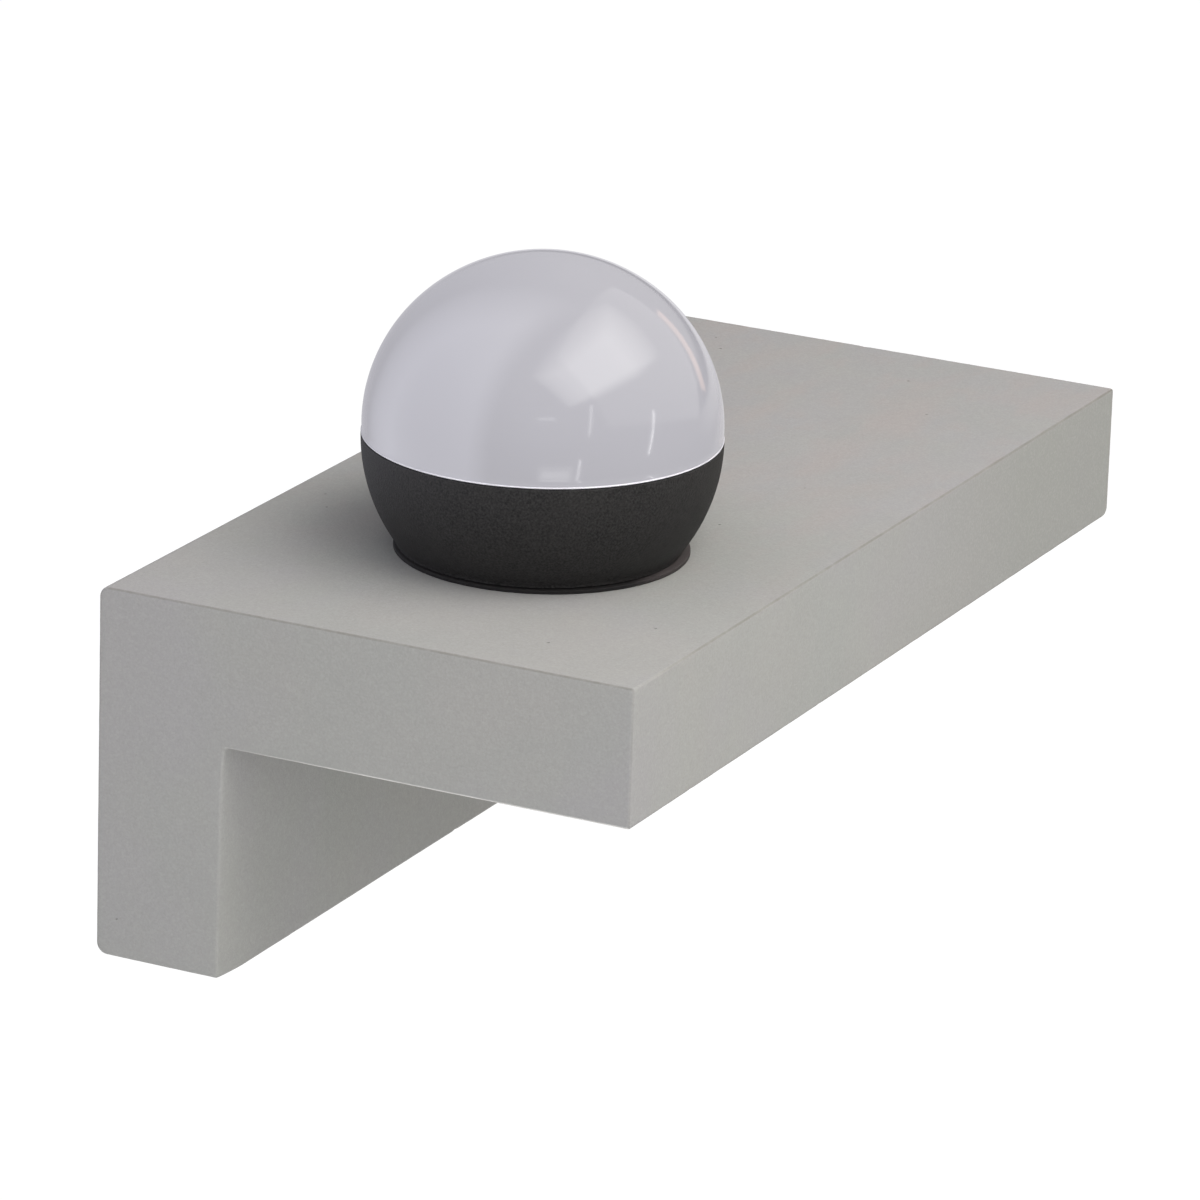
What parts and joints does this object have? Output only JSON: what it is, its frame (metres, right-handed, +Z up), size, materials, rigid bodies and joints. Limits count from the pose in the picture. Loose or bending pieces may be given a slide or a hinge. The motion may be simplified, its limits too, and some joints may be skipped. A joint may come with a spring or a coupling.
{
  "type": "wall light shelf",
  "caption": "L-shaped concrete wall shelf on a hidden steel wall plate, carrying a ball lamp with a black bowl and a twist-off opal dome.",
  "frame": {"origin": "middle of the wall plate's back face, which is also the middle of the shelf's 300 x 100 mm back", "axes": "+Z up, +Y into the wall, so the shelf comes out towards -Y. X runs along the wall and the lamp stands towards the -X end"},
  "size_m": [0.3, 0.152, 0.1786],
  "materials": {
    "concrete": "fair-faced cast concrete, fine grain, matte",
    "zinc": "zinc-plated steel",
    "brass": "plain turned brass",
    "black_shell": "die-cast shell, black fine-texture powder coat",
    "opal": "glossy opal acrylic, faintly lavender",
    "rubber": "dark grey EPDM and silicone",
    "white_plastic": "moulded white polyamide",
    "grey_plastic": "moulded grey plastic",
    "cable_black": "black sheathed flex",
    "core_brown": "brown PVC insulation",
    "core_blue": "blue PVC insulation",
    "core_red": "red silicone insulation",
    "aluminium": "bare sheet aluminium",
    "board": "white solder-masked circuit board",
    "led": "yellow phosphor LED package"
  },
  "bodies": {
    "shelf": {"concrete_bracket": "concrete", "wall_plate": "zinc", "rivet_nut_left": "zinc", "rivet_nut_right": "zinc", "lock_screw_left": "zinc", "lock_screw_right": "zinc", "cable_grommet": "rubber", "terminal_block": "white_plastic", "terminal_block_screw": "zinc", "terminal_sleeve_1": "brass", "terminal_sleeve_2": "brass", "terminal_sleeve_3": "brass", "terminal_screw_1": "zinc", "terminal_screw_2": "zinc", "terminal_screw_3": "zinc", "terminal_screw_4": "zinc", "terminal_screw_5": "zinc", "terminal_screw_6": "zinc", "cable_clamp": "zinc", "clamp_screw_1": "zinc", "clamp_screw_2": "zinc", "supply_flex": "cable_black", "terminal_core_brown": "core_brown", "terminal_core_blue": "core_blue", "underside_cap": "grey_plastic", "threaded_nipple": "zinc", "upper_washer": "zinc", "upper_nut": "brass", "lower_washer": "zinc", "lower_nut": "brass", "base_gasket": "rubber", "lamp_bowl": "black_shell", "cord_grip": "white_plastic", "cord_grip_screw": "zinc", "driver_module": "white_plastic", "driver_screw_1": "zinc", "driver_screw_2": "zinc", "driver_core_brown": "core_brown", "driver_core_blue": "core_blue", "heat_plate": "aluminium", "heat_plate_screw_1": "zinc", "heat_plate_screw_2": "zinc", "heat_plate_screw_3": "zinc", "led_board": "board", "board_screw_1": "zinc", "board_screw_2": "zinc", "led_1": "led", "led_2": "led", "led_3": "led", "led_4": "led", "led_5": "led", "led_6": "led", "led_7": "led", "led_8": "led", "led_lead_red": "core_red", "led_lead_black": "cable_black", "dome_seal": "rubber"},
    "dome": {"opal_dome": "opal"}
  },
  "joints": [
    {"name": "dome_twist", "type": "hinge", "parent": "shelf", "child": "dome", "pos_m": [-0.063, -0.081, 0.0809], "axis": [0, 0, 1], "range_deg": [0, 30]}
  ]
}
